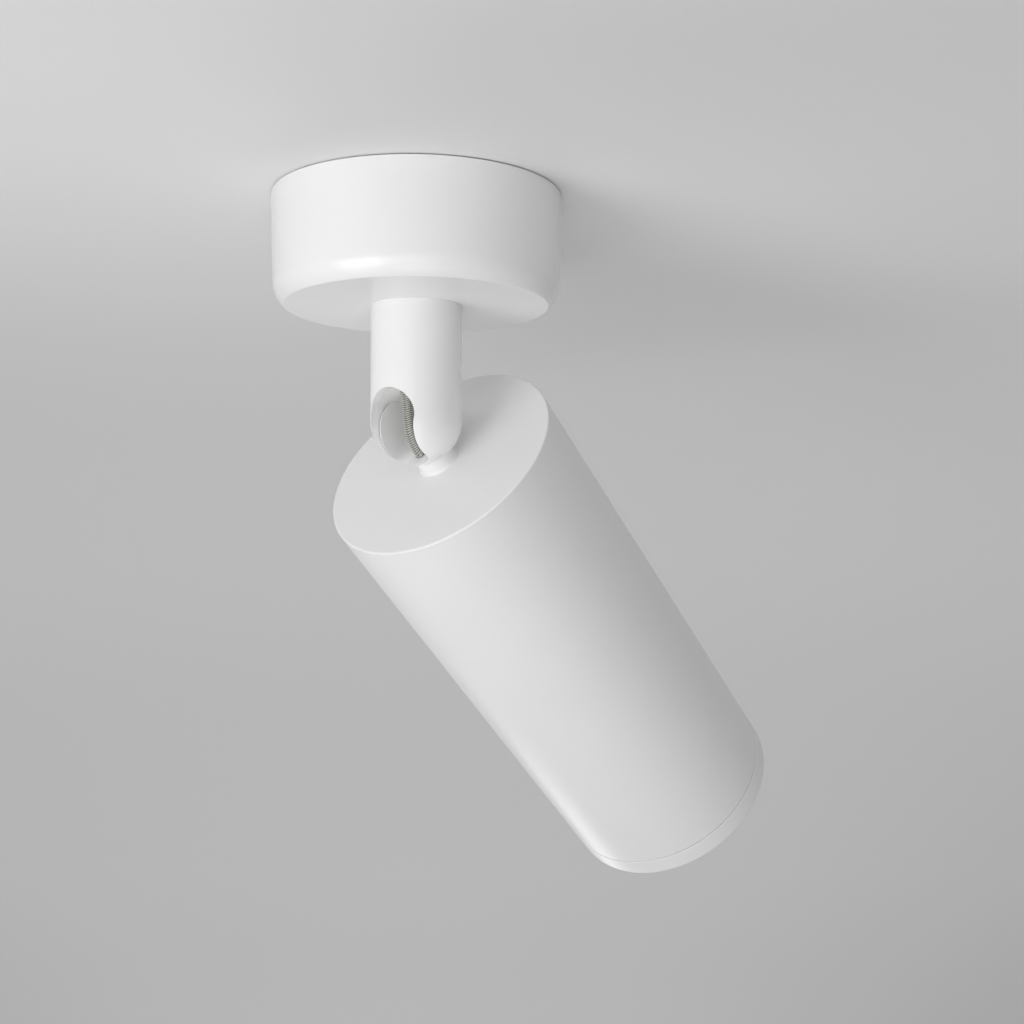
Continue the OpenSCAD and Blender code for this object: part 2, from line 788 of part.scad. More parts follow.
// Two leads from the end of the cable to the back of the lampholder
module lamp_leads() {
    start_z = cable_tail[1] - lead_r / 2;
    lead_end_z = holder_face_z + holder_lip + well_depth;
    spread = pin_pitch / 2;
    span_z = holder_back_z - start_z;
    for (side = [-1, 1]) color(side < 0 ? "steelblue" : "sienna") on_head()
        tube_along(
            [
                [side * lead_r, 0, start_z],
                [side * spread / 2, 0, start_z + span_z / 4],
                [side * spread, 0, start_z + span_z / 2],
                [side * spread, 0, start_z + span_z * lead_bow_share],
                [side * spread, 0, holder_back_z + over],
                [side * spread, 0, lead_end_z + fit]
            ],
            0, 5, lead_r, cable_sides, [0, 1, 0]);
}

// Tapered body of the lamp with the seat of its lens and a shallow bowl behind it
module lamp_body() {
    taper_len = lamp_len - lamp_rim_h - lamp_base_h;
    lens_back_z = lamp_face_z + lens_t + lens_sink;
    side_points = [for (i = [0 : lamp_steps]) [
        lamp_waist_r + (lamp_r - lamp_waist_r) * sqrt(1 - i / lamp_steps),
        lamp_face_z + lamp_rim_h + taper_len * i / lamp_steps
    ]];
    color("white") on_head() rotate_extrude() polygon(concat(
        [[0, lens_back_z + lamp_bowl_depth], [lamp_bowl_r, lens_back_z + lamp_bowl_depth]],
        [[lens_r - lamp_bowl_wall, lens_back_z], [lens_r + fit, lens_back_z]],
        [[lens_r + fit, lamp_face_z], [lamp_r, lamp_face_z]],
        side_points,
        [[0, lamp_face_z + lamp_rim_h + taper_len]]
    ));
}

// Clear front lens of the lamp
module lamp_lens() {
    color([0.9, 0.95, 1, 0.5]) on_head()
        bar(lens_r, lamp_face_z + lens_sink, lamp_face_z + lens_sink + lens_t - fit);
}

// Base of the lamp between its body and the lampholder
module lamp_base() {
    color("white") on_head()
        bar(lamp_base_r, lamp_back_z - lamp_base_h + fit, lamp_back_z);
}

// Two headed pins of the lamp
module lamp_pins() {
    head_z = lamp_back_z + pin_shaft;
    color("silver") on_head() for (side = [-1, 1]) translate([side * pin_pitch / 2, 0, 0]) {
        bar(pin_r, lamp_back_z, head_z);
        bar(pin_head_r, head_z, head_z + pin_head_h);
    }
}

// Push-in front ring with a spigot, a flat ledge before the lamp face and a flared mouth
module front_ring() {
    tube_stop_z = front_z + ring_h;
    color("whitesmoke") on_head() difference() {
        rotate_extrude() polygon([
            [head_r - ring_edge, front_z],
            [head_r, front_z + ring_edge],
            [head_r, tube_stop_z],
            [ring_spigot_r, tube_stop_z],
            [ring_spigot_r, ring_lip_z - ring_edge],
            [ring_spigot_r - ring_edge, ring_lip_z],
            [ring_lip_r, ring_lip_z],
            [ring_lip_r, ring_lip_z - ring_lip_t],
            [ring_mouth_r, front_z]
        ]);
        translate([0, 0, tube_stop_z + o_ring_back])
            collar(ring_spigot_r + over, o_ring_groove_r, -o_ring_r - fit, o_ring_r + fit);
    }
}

// Rubber ring that grips the bore of the tube
module ring_o_ring() {
    color("dimgray") on_head() translate([0, 0, front_z + ring_h + o_ring_back]) rotate_extrude()
        translate([o_ring_seat_r, 0]) circle(r = o_ring_r, $fn = 32);
}

// Soft seal between the ledge of the ring and the face of the lamp
module lamp_seal() {
    seal_r = ring_lip_r + seal_w;
    color("gainsboro") on_head()
        collar(seal_r, ring_lip_r, ring_lip_z + seal_gap, ring_lip_z + seal_gap + seal_t);
}

mounting_bracket();
terminal_block();
terminal_screws();
block_rivets();
earth_screw();
canopy();
canopy_screws();
swivel_stop_pin();
supply_leads();
stem();
stem_cap();
swivel_friction_washer();
swivel_stop_washer();
swivel_spring_washer();
swivel_nut();
cable_collar();
pad_spring();
friction_pad();
cable_stem();
cable_bend();
ball_neck();
neck_washer();
neck_nut();
head_housing();
head_cap_disc();
holder_strap();
holder_screws();
lampholder();
holder_face();
holder_contacts();
cable_head();
lamp_leads();
lamp_body();
lamp_lens();
lamp_base();
lamp_pins();
front_ring();
ring_o_ring();
lamp_seal();
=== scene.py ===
import json
import math

import bmesh
import bpy
from mathutils import Matrix, Vector


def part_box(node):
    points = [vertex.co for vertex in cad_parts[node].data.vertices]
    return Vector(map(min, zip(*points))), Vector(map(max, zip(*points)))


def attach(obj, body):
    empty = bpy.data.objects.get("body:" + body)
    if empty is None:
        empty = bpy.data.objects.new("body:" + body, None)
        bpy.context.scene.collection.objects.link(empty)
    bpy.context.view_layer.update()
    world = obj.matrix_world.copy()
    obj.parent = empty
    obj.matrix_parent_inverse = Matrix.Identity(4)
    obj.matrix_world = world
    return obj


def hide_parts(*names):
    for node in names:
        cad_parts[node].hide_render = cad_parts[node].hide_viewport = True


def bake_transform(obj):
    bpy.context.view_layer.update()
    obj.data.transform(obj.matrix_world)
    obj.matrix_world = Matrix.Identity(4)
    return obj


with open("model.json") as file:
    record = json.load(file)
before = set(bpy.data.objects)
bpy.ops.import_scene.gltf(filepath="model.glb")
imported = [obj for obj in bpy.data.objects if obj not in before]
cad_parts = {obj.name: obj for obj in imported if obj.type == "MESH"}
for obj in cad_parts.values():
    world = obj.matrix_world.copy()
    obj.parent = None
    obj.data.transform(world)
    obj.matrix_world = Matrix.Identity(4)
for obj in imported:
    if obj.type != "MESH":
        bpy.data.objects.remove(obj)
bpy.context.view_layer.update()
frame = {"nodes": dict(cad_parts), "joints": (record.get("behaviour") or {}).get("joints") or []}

# Axes of the light. The stem swivels about the plumb line through the canopy, and the head leans
# in one plane. Everything below the canopy is drawn upright on these two frames, then turned.
joints = {joint["name"]: joint for joint in frame["joints"]}
tilt_axis = Vector(joints["head_tilt"]["axis"])
ball_centre = Vector(joints["head_tilt"]["pos_m"])
beam = Vector(joints["ring_pull"]["axis"])
lean = Vector((-tilt_axis.y, tilt_axis.x, 0)).normalized()
across = Vector((0, 0, 1)).cross(lean)


def frame_of(x_axis, y_axis, z_axis, origin):
    turn = Matrix((x_axis, y_axis, z_axis)).transposed()
    return Matrix.Translation(origin) @ turn.to_4x4()


on_ceiling = Matrix.Identity(4)
on_stem = frame_of(lean, across, Vector((0, 0, 1)), Vector((0, 0, 0)))
on_head = frame_of(across.cross(-beam), across, -beam, ball_centre)


# Camera at the photographed angle: a little below the ceiling, looking up and to the right.
camera_data = bpy.data.cameras.new("camera")
camera_data.lens = 56.72
camera_data.sensor_width = 36
camera_data.clip_start = 0.01
camera = bpy.data.objects.new("camera", camera_data)
bpy.context.scene.collection.objects.link(camera)
look_right, look_up, look_roll = 0.0598, 0.0915, -0.0018
camera.location = (0, -0.38334, -0.11169)
camera.rotation_mode = "XYZ"
camera.matrix_world = (
    Matrix.Translation(camera.location)
    @ Matrix.Rotation(-look_right, 4, "Z")
    @ Matrix.Rotation(math.pi / 2 + look_up, 4, "X")
    @ Matrix.Rotation(look_roll, 4, "Z")
)
bpy.context.scene.camera = camera


# White polyester powder coat, baked on to the turned and drawn aluminium. It levels out to an
# even skin with a very fine orange peel: satin on the head and its ring, glossier on the rest.
def new_material(name, colour, roughness, metallic=0.0):
    material = bpy.data.materials.new(name)
    material.use_nodes = True
    shader = material.node_tree.nodes["Principled BSDF"]
    shader.inputs["Base Color"].default_value = (*colour, 1)
    shader.inputs["Roughness"].default_value = roughness
    shader.inputs["Metallic"].default_value = metallic
    return material, material.node_tree, shader


grain_detail = 3
cloud_per_metre = 60
cloud_detail = 2
cloud_roughness = 0.03
cloud_tones = (0.985, 1.015)


def surface_grain_group():
    group = bpy.data.node_groups.new("surface_grain", "ShaderNodeTree")
    sides = group.interface
    sides.new_socket("Colour", in_out="INPUT", socket_type="NodeSocketColor")
    sides.new_socket("Grain per metre", in_out="INPUT", socket_type="NodeSocketFloat")
    sides.new_socket("Depth", in_out="INPUT", socket_type="NodeSocketFloat")
    sides.new_socket("Roughness", in_out="INPUT", socket_type="NodeSocketFloat")
    sides.new_socket("Colour", in_out="OUTPUT", socket_type="NodeSocketColor")
    sides.new_socket("Roughness", in_out="OUTPUT", socket_type="NodeSocketFloat")
    sides.new_socket("Normal", in_out="OUTPUT", socket_type="NodeSocketVector")
    nodes, links = group.nodes, group.links
    given = nodes.new("NodeGroupInput")
    result = nodes.new("NodeGroupOutput")
    place = nodes.new("ShaderNodeTexCoord")
    grain = nodes.new("ShaderNodeTexNoise")
    grain.inputs["Detail"].default_value = grain_detail
    links.new(place.outputs["Object"], grain.inputs["Vector"])
    links.new(given.outputs["Grain per metre"], grain.inputs["Scale"])
    cloud = nodes.new("ShaderNodeTexNoise")
    cloud.inputs["Scale"].default_value = cloud_per_metre
    cloud.inputs["Detail"].default_value = cloud_detail
    links.new(place.outputs["Object"], cloud.inputs["Vector"])
    bump = nodes.new("ShaderNodeBump")
    bump.inputs["Strength"].default_value = 1
    links.new(given.outputs["Depth"], bump.inputs["Distance"])
    links.new(grain.outputs["Fac"], bump.inputs["Height"])
    links.new(bump.outputs["Normal"], result.inputs["Normal"])
    patch = nodes.new("ShaderNodeMapRange")
    patch.inputs["To Min"].default_value = -cloud_roughness
    patch.inputs["To Max"].default_value = cloud_roughness
    links.new(cloud.outputs["Fac"], patch.inputs["Value"])
    rough = nodes.new("ShaderNodeMath")
    links.new(given.outputs["Roughness"], rough.inputs[0])
    links.new(patch.outputs["Result"], rough.inputs[1])
    links.new(rough.outputs["Value"], result.inputs["Roughness"])
    tone = nodes.new("ShaderNodeMapRange")
    tone.inputs["To Min"].default_value = cloud_tones[0]
    tone.inputs["To Max"].default_value = cloud_tones[1]
    links.new(cloud.outputs["Fac"], tone.inputs["Value"])
    shade = nodes.new("ShaderNodeVectorMath")
    shade.operation = "SCALE"
    links.new(given.outputs["Colour"], shade.inputs[0])
    links.new(tone.outputs["Result"], shade.inputs["Scale"])
    links.new(shade.outputs["Vector"], result.inputs["Colour"])
    return group


surface_grain = surface_grain_group()


def grained_material(name, colour, roughness, grain_per_metre, depth, metallic=0.0):
    material, tree, shader = new_material(name, colour, roughness, metallic)
    grain = tree.nodes.new("ShaderNodeGroup")
    grain.node_tree = surface_grain
    grain.inputs["Colour"].default_value = (*colour, 1)
    grain.inputs["Grain per metre"].default_value = grain_per_metre
    grain.inputs["Depth"].default_value = depth
    grain.inputs["Roughness"].default_value = roughness
    tree.links.new(grain.outputs["Colour"], shader.inputs["Base Color"])
    tree.links.new(grain.outputs["Roughness"], shader.inputs["Roughness"])
    tree.links.new(grain.outputs["Normal"], shader.inputs["Normal"])
    return material


paint_white = (0.86, 0.86, 0.86)
gloss_paint = grained_material("white_gloss_coat", paint_white, roughness=0.22,
                               grain_per_metre=700, depth=0.000001)
satin_paint = grained_material("white_satin_coat", paint_white, roughness=0.32,
                               grain_per_metre=900, depth=0.000002)


# The canopy is a spun aluminium cup with a slight draft and a soft lower edge. Two side screws
# hold it to the bracket, and the round of its rim leaves a fine dark line at the ceiling.
sharp_angle = math.radians(35)
guard_loop = 0.0003
long_line = 0.0012
long_rest = 0.0009
merge_distance = 1e-7


# The outline is turned about the axis. Its corners are rounded by their number in it, each with a
# radius and a count of segments, and guard loops beside them keep the flats flat.
def turned(name, outline, rounds, place, material, steps, closed=True):
    shape = bmesh.new()
    corners = [shape.verts.new((radius, 0, height)) for radius, height in outline]
    for here, there in zip(corners, corners[1:]):
        shape.edges.new((here, there))
    if closed:
        shape.edges.new((corners[-1], corners[0]))
    for index, (radius, segments) in rounds.items():
        here = Vector(outline[index])
        back = (Vector(outline[index - 1]) - here).normalized()
        ahead = (Vector(outline[(index + 1) % len(outline)]) - here).normalized()
        reach = radius / math.tan(back.angle(ahead) / 2)
        bmesh.ops.bevel(shape, geom=[corners[index]], offset=reach, offset_type="OFFSET",
                        segments=segments, profile=0.5, affect="VERTICES", material=-1)
    for line in [edge for edge in shape.edges if edge.calc_length() > long_line]:
        bmesh.utils.edge_split(line, line.verts[0], guard_loop / line.calc_length())
    for line in [edge for edge in shape.edges if edge.calc_length() > long_rest]:
        end = line.verts[1] if len(line.verts[1].link_edges) > 1 else line.verts[0]
        bmesh.utils.edge_split(line, end, guard_loop / line.calc_length())
    bmesh.ops.spin(shape, geom=shape.verts[:] + shape.edges[:], cent=(0, 0, 0), axis=(0, 0, 1),
                   angle=2 * math.pi, steps=steps, use_merge=True)
    bmesh.ops.remove_doubles(shape, verts=shape.verts, dist=merge_distance)
    bmesh.ops.recalc_face_normals(shape, faces=shape.faces)
    bmesh.ops.transform(shape, matrix=place, verts=shape.verts)
    return finished(name, shape, material)


def finished(name, shape, material, sharp=sharp_angle):
    mesh = bpy.data.meshes.new(name)
    shape.to_mesh(mesh)
    shape.free()
    piece = bpy.data.objects.new(name, mesh)
    bpy.context.scene.collection.objects.link(piece)
    mesh.shade_smooth()
    mesh.set_sharp_from_angle(angle=sharp)
    mesh.materials.append(material)
    return piece


canopy_low, canopy_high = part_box("canopy")
canopy_radius = canopy_high.x
canopy_top = canopy_high.z
canopy_foot = canopy_low.z
canopy_draft = 0.0007
canopy_wall = 0.0016
canopy_floor = 0.002
canopy_edge = 0.0068
edge_centre = (0.027667, -0.0216)
edge_start_degrees, edge_end_degrees = 1.42, 52.6
edge_steps = 16
canopy_hole = 0.0052
rim_round = 0.0003
crease_round = 0.0005
edge_arc = []
for step in range(edge_steps + 1):
    degrees = edge_end_degrees + (edge_start_degrees - edge_end_degrees) * step / edge_steps
    turn = math.radians(degrees)
    edge_arc.append((edge_centre[0] + canopy_edge * math.cos(turn),
                     edge_centre[1] - canopy_edge * math.sin(turn)))
canopy_shell = turned(
    "canopy_shell",
    [(canopy_hole, canopy_foot)] + edge_arc + [
        (canopy_radius, canopy_top),
        (canopy_radius - canopy_wall, canopy_top),
        (canopy_radius - canopy_draft - canopy_wall, canopy_foot + canopy_floor),
        (canopy_hole, canopy_foot + canopy_floor),
    ],
    {1: (crease_round, 4), 18: (rim_round, 4), 19: (rim_round, 4),
     20: (canopy_edge - canopy_wall, 20)},
    on_ceiling, gloss_paint, steps=256)


# Cuts through a piece: the cutter is taken away from it, and where the new edges show they are
# eased by a small round, as tumbling and the coat do on the real parts. The side holes come first.
ease_angle = math.radians(38)


def cut_away(piece, cutter):
    cut = piece.modifiers.new("cut", "BOOLEAN")
    cut.object = cutter
    cut.operation = "DIFFERENCE"
    cut.solver = "EXACT"
    apply_modifiers(piece)
    bpy.data.objects.remove(cutter)


def apply_modifiers(piece):
    bpy.context.view_layer.update()
    evaluated = piece.evaluated_get(bpy.context.evaluated_depsgraph_get())
    mesh = bpy.data.meshes.new_from_object(evaluated)
    piece.modifiers.clear()
    piece.data = mesh


def ease_edges(piece, width, segments):
    ease = piece.modifiers.new("ease", "BEVEL")
    ease.width = width
    ease.segments = segments
    ease.limit_method = "ANGLE"
    ease.angle_limit = ease_angle
    apply_modifiers(piece)


def rod(radius, start, end, steps):
    shape = bmesh.new()
    start, end = Vector(start), Vector(end)
    length = (end - start).length
    bmesh.ops.create_cone(shape, cap_ends=True, segments=steps, radius1=radius, radius2=radius,
                          depth=length)
    turn = Vector((0, 0, 1)).rotation_difference(end - start).to_matrix().to_4x4()
    bmesh.ops.transform(shape, matrix=Matrix.Translation((start + end) / 2) @ turn,
                        verts=shape.verts)
    return shape


side_screw_height = -0.009
side_hole = 0.0017
side_reach = canopy_radius + 0.002
side_rod = rod(side_hole, (-side_reach, 0, side_screw_height), (side_reach, 0, side_screw_height),
               steps=48)
cut_away(canopy_shell, finished("side_holes", side_rod, gloss_paint))
canopy_shell.data.set_sharp_from_angle(angle=sharp_angle)
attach(canopy_shell, "ceiling_unit")
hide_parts("canopy")


# The bracket is a zinc plated steel bar, bent down at its ends into two threaded tabs. The same
# plating is on the screws, nuts and washers, and shows fine rolling lines and soft blotches.
zinc_colour = (0.62, 0.63, 0.65)
zinc_roughness = 0.3
blotch_roughness = (-0.08, 0.14)
blotch_tones = (0.86, 1.1)
blotches_per_metre = 240
rolling_lines = (60, 2600, 2600)
line_detail = 4
line_depth = 0.000006


def plated_steel(name, colour, roughness):
    material, tree, shader = new_material(name, colour, roughness, metallic=1.0)
    place = tree.nodes.new("ShaderNodeTexCoord")
    stretch = tree.nodes.new("ShaderNodeMapping")
    stretch.inputs["Scale"].default_value = rolling_lines
    lines = tree.nodes.new("ShaderNodeTexNoise")
    lines.inputs["Scale"].default_value = 1
    lines.inputs["Detail"].default_value = line_detail
    blotch = tree.nodes.new("ShaderNodeTexNoise")
    blotch.inputs["Scale"].default_value = blotches_per_metre
    ramp = tree.nodes.new("ShaderNodeMapRange")
    ramp.inputs["To Min"].default_value = roughness + blotch_roughness[0]
    ramp.inputs["To Max"].default_value = roughness + blotch_roughness[1]
    tint = tree.nodes.new("ShaderNodeMapRange")
    tint.data_type = "FLOAT_VECTOR"
    # The vector sockets of this node share their names with others, so they go by number.
    tint.inputs[9].default_value = [blotch_tones[0] * part for part in colour]
    tint.inputs[10].default_value = [min(1, blotch_tones[1] * part) for part in colour]
    bump = tree.nodes.new("ShaderNodeBump")
    bump.inputs["Distance"].default_value = line_depth
    tree.links.new(place.outputs["Object"], stretch.inputs["Vector"])
    tree.links.new(stretch.outputs["Vector"], lines.inputs["Vector"])
    tree.links.new(place.outputs["Object"], blotch.inputs["Vector"])
    tree.links.new(blotch.outputs["Fac"], ramp.inputs["Value"])
    tree.links.new(ramp.outputs["Result"], shader.inputs["Roughness"])
    tree.links.new(blotch.outputs["Color"], tint.inputs[6])
    tree.links.new(tint.outputs[1], shader.inputs["Base Color"])
    tree.links.new(lines.outputs["Fac"], bump.inputs["Height"])
    tree.links.new(bump.outputs["Normal"], shader.inputs["Normal"])
    return material


zinc_plate = plated_steel("zinc_plate", zinc_colour, zinc_roughness)


def finish_nodes(material, *names):
    for name in names:
        node = frame["nodes"][name]
        node.data.materials.clear()
        node.data.materials.append(material)


finish_nodes(zinc_plate, "mounting_bracket", "block_rivets", "canopy_screws", "swivel_stop_pin",
             "swivel_stop_washer", "swivel_spring_washer", "swivel_nut", "pad_spring",
             "neck_washer", "neck_nut", "holder_strap", "holder_screws")


# The terminal block is moulded in ivory polyamide. Brass screws clamp the cores, and a brass
# earth screw stands beside it on the bracket.
ivory_plastic = grained_material("ivory_polyamide", (0.8, 0.77, 0.66), roughness=0.5,
                                 grain_per_metre=2500, depth=0.00001)
finish_nodes(ivory_plastic, "terminal_block")
turned_brass = grained_material("turned_brass", (0.76, 0.56, 0.24), roughness=0.28,
                                grain_per_metre=1800, depth=0.000004, metallic=1.0)
finish_nodes(turned_brass, "terminal_screws", "earth_screw", "holder_contacts")


# Three silicone covered cores run from the end of the cable to the terminal block: brown, blue
# and green. Each is a soft tube that bows a little on its way into its pole.
tube_sharp_angle = math.radians(60)


def smooth_route(points, per_span):
    route = []
    points = [Vector(point) for point in points]
    ends = [2 * points[0] - points[1]] + points + [2 * points[-1] - points[-2]]
    for one, two, three, four in zip(ends, ends[1:], ends[2:], ends[3:]):
        for step in range(per_span):
            t = step / per_span
            route.append(0.5 * (2 * two + (three - one) * t
                                + (2 * one - 5 * two + 4 * three - four) * t * t
                                + (3 * two - one - 3 * three + four) * t ** 3))
    route.append(points[-1])
    return route


def tube(name, route, radius, place, material, around, relief=None, relief_depth=0.0):
    shape = bmesh.new()
    along = len(route) - 1
    bmesh.ops.create_grid(shape, x_segments=around, y_segments=along, size=0.5)
    raised = shape.verts.layers.float.new("relief")
    lengths = [0]
    for here, there in zip(route, route[1:]):
        lengths.append(lengths[-1] + (there - here).length)
    for vert in shape.verts:
        row = round((vert.co.y + 0.5) * along)
        angle = (vert.co.x + 0.5) * 2 * math.pi
        heading = (route[min(row + 1, along)] - route[max(row - 1, 0)]).normalized()
        out = Vector((0, 1, 0)).cross(heading).normalized()
        rise = heading.cross(out)
        height = relief(angle % (2 * math.pi), lengths[row]) if relief else 1
        vert[raised] = height
        reach = radius - relief_depth * (1 - height)
        vert.co = route[row] + reach * (math.cos(angle) * out + math.sin(angle) * rise)
    bmesh.ops.remove_doubles(shape, verts=shape.verts, dist=merge_distance)
    bmesh.ops.holes_fill(shape, edges=[edge for edge in shape.edges if edge.is_boundary], sides=0)
    bmesh.ops.recalc_face_normals(shape, faces=shape.faces)
    bmesh.ops.transform(shape, matrix=place, verts=shape.verts)
    return finished(name, shape, material, tube_sharp_angle)


core_radius = 0.0008
core_spans = 6
core_sides = 16
core_points = {
    "brown": [(0.0005, 0.001, -0.0113), (-0.001, 0.002, -0.00864), (-0.0035, 0.0056, -0.0075),
              (-0.0062, 0.007, -0.0075), (-0.0102, 0.007, -0.0075)],
    "green": [(-0.001, 0, -0.0113), (-0.001, 0, -0.00864), (-0.0035, 0, -0.0075),
              (-0.0062, 0, -0.0075), (-0.0102, 0, -0.0075)],
    "blue": [(0.0005, -0.001, -0.0113), (-0.001, -0.002, -0.00864), (-0.0035, -0.0056, -0.0075),
             (-0.0062, -0.007, -0.0075), (-0.0102, -0.007, -0.0075)],
}
core_colours = {
    "brown": (0.2, 0.09, 0.05),
    "green": (0.25, 0.42, 0.06),
    "blue": (0.05, 0.17, 0.45),
}
core_materials = {}
for core, points in core_points.items():
    core_materials[core] = grained_material("silicone_" + core, core_colours[core], roughness=0.45,
                                            grain_per_metre=3000, depth=0.000008)
    core_tube = tube("supply_core_" + core, smooth_route(points, core_spans), core_radius,
                     on_ceiling, core_materials[core], around=core_sides)
    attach(core_tube, "ceiling_unit")
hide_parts("supply_leads")


# The stem is turned from aluminium bar and ends in a hemisphere. A slot that is wider than the
# neck and half round at its top runs through the end, and the ball is seated inside.
stem_radius = 0.011
stem_play = 0.00001
stem_top = canopy_foot - stem_play
stem_roof = 0.0016
stem_bore_top = stem_top - stem_roof
stem_ease = 0.00028
dome_height = -0.0545
dome_steps = 32
seat_radius = 0.00885
seat_steps = 24
slot_width = 0.0132
slot_half_length = 0.013
slot_depth = 0.014
dome_arc = [(stem_radius * math.cos(step * math.pi / (2 * dome_steps)), dome_height
             - stem_radius * math.sin(step * math.pi / (2 * dome_steps)))
            for step in range(dome_steps)]
stem_post = turned("stem_post", [(0, stem_top), (stem_radius, stem_top)] + dome_arc
                   + [(0, dome_height - stem_radius)],
                   {}, on_stem, gloss_paint, steps=256, closed=False)
seat_arc = [(seat_radius * math.cos(step * math.pi / (2 * seat_steps)), ball_centre.z
             - seat_radius * math.sin(step * math.pi / (2 * seat_steps)))
            for step in range(seat_steps)]
seat_cutter = turned("seat_cutter", [(0, stem_bore_top), (seat_radius, stem_bore_top)] + seat_arc
                     + [(0, ball_centre.z - seat_radius)],
                     {}, on_stem, gloss_paint, steps=160, closed=False)


def slot_cutter():
    close = 1e-6
    shape = bmesh.new()
    bmesh.ops.create_cone(shape, cap_ends=True, segments=96, radius1=slot_width / 2,
                          radius2=slot_width / 2, depth=2 * slot_half_length)
    bmesh.ops.rotate(shape, cent=(0, 0, 0), verts=shape.verts,
                     matrix=Matrix.Rotation(math.pi / 2, 3, "Y"))
    bmesh.ops.translate(shape, vec=(0, 0, dome_height), verts=shape.verts)
    for vert in [vert for vert in shape.verts if vert.co.z < dome_height - close]:
        vert.co.z = dome_height - slot_depth
        vert.co.y = math.copysign(slot_width / 2, vert.co.y) if abs(vert.co.y) > close else 0
    bmesh.ops.remove_doubles(shape, verts=shape.verts, dist=close)
    bmesh.ops.transform(shape, matrix=on_stem, verts=shape.verts)
    bmesh.ops.recalc_face_normals(shape, faces=shape.faces)
    return finished("slot_cutter", shape, gloss_paint)


cut_away(stem_post, slot_cutter())
ease_edges(stem_post, stem_ease, segments=4)
cut_away(stem_post, seat_cutter)
stem_post.data.set_sharp_from_angle(angle=sharp_angle)
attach(stem_post, "swivel_stem")
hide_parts("stem")


# Inside the stem a threaded plug, a spring and a nylon pad press on the ball. On the nipple above
# sit the plain washers and the nut that carry the weight, and a collar that grips the cable.
turned_aluminium = grained_material("turned_aluminium", (0.72, 0.73, 0.74), roughness=0.32,
                                    grain_per_metre=1500, depth=0.000005, metallic=1.0)
finish_nodes(turned_aluminium, "stem_cap")
white_nylon = grained_material("white_nylon", (0.84, 0.84, 0.83), roughness=0.45,
                               grain_per_metre=1600, depth=0.00001)
pad_play = 0.00002
pad_radius = seat_radius - pad_play
pad_height = 0.0132
pad_top = ball_centre.z + pad_height
pad_seat = 0.00881
pad_arc_degrees = 84
pad_arc_steps = 40
pad_channel = 0.0017
pad_channel_past = 0.0015
pad_channel_runs = [
    ((-0.0035, 0, -0.0455), (-0.0033, 0, -0.0504)),
    ((-0.0034, 0, -0.043), (-0.0035, 0, -0.0462)),
]
pad_arc = [(0, ball_centre.z + pad_seat)]
for step in range(1, pad_arc_steps + 1):
    turn = math.radians(90 - pad_arc_degrees * step / pad_arc_steps)
    pad_arc.append((pad_seat * math.cos(turn), ball_centre.z + pad_seat * math.sin(turn)))
brake_pad = turned("brake_pad", pad_arc + [(pad_radius, pad_arc[-1][1]), (pad_radius, pad_top),
                                           (0, pad_top)],
                   {}, on_stem, white_nylon, steps=160, closed=False)
for upper_end, lower_end in pad_channel_runs:
    rise = Vector([high - low for high, low in zip(upper_end, lower_end)])
    past = rise.normalized() * pad_channel_past
    shaft = rod(pad_channel, Vector(upper_end) + past, Vector(lower_end) - past, steps=40)
    bmesh.ops.transform(shaft, matrix=on_stem, verts=shaft.verts)
    cut_away(brake_pad, finished("pad_channel", shaft, white_nylon))
cut_away(brake_pad, slot_cutter())
brake_pad.data.set_sharp_from_angle(angle=sharp_angle)
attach(brake_pad, "swivel_stem")
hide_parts("friction_pad")
black_nylon = grained_material("black_nylon", (0.035, 0.035, 0.037), roughness=0.45,
                               grain_per_metre=1600, depth=0.00001)
finish_nodes(black_nylon, "swivel_friction_washer", "cable_collar")


# The ball, its neck and the stud are one turned part. A fork as wide as the cable needs is milled
# into the ball from above, and the cable goes down through the floor of the fork.
ball_radius = 0.0088
neck_radius = 0.005
neck_foot = -0.0109
stud_radius = 0.004
stud_length = 0.012
stud_foot = neck_foot - stud_length
flare = 0.0006
flare_steps = 6
fork_width = 0.01
fork_floor = -0.005
fork_round = 0.0028
fork_reach = 0.01
cable_hole = 0.0016
hole_top = (-0.00371, 0, -0.003)
hole_foot = (-0.001, 0, -0.0112)
ball_ease = 0.00018
half_turn_steps = 96
ball_arc = [(ball_radius * math.cos(step * math.pi / half_turn_steps), ball_radius
             * math.sin(step * math.pi / half_turn_steps))
            for step in range(half_turn_steps // 2 - 1, -half_turn_steps // 2, -1)]
ball_arc = [point for point in ball_arc if point[0] > neck_radius or point[1] > 0]
flare_arc = [(neck_radius + flare - flare * math.cos(step * math.pi / (2 * flare_steps)),
              neck_foot + flare - flare * math.sin(step * math.pi / (2 * flare_steps)))
             for step in range(flare_steps + 1)]
ball_outline = ([(0, ball_radius)] + ball_arc
                + [(neck_radius, -math.sqrt(ball_radius ** 2 - neck_radius ** 2))] + flare_arc
                + [(stud_radius, neck_foot), (stud_radius, stud_foot), (0, stud_foot)])
ball_part = turned("ball_and_neck", ball_outline, {}, on_head, gloss_paint, steps=192,
                   closed=False)


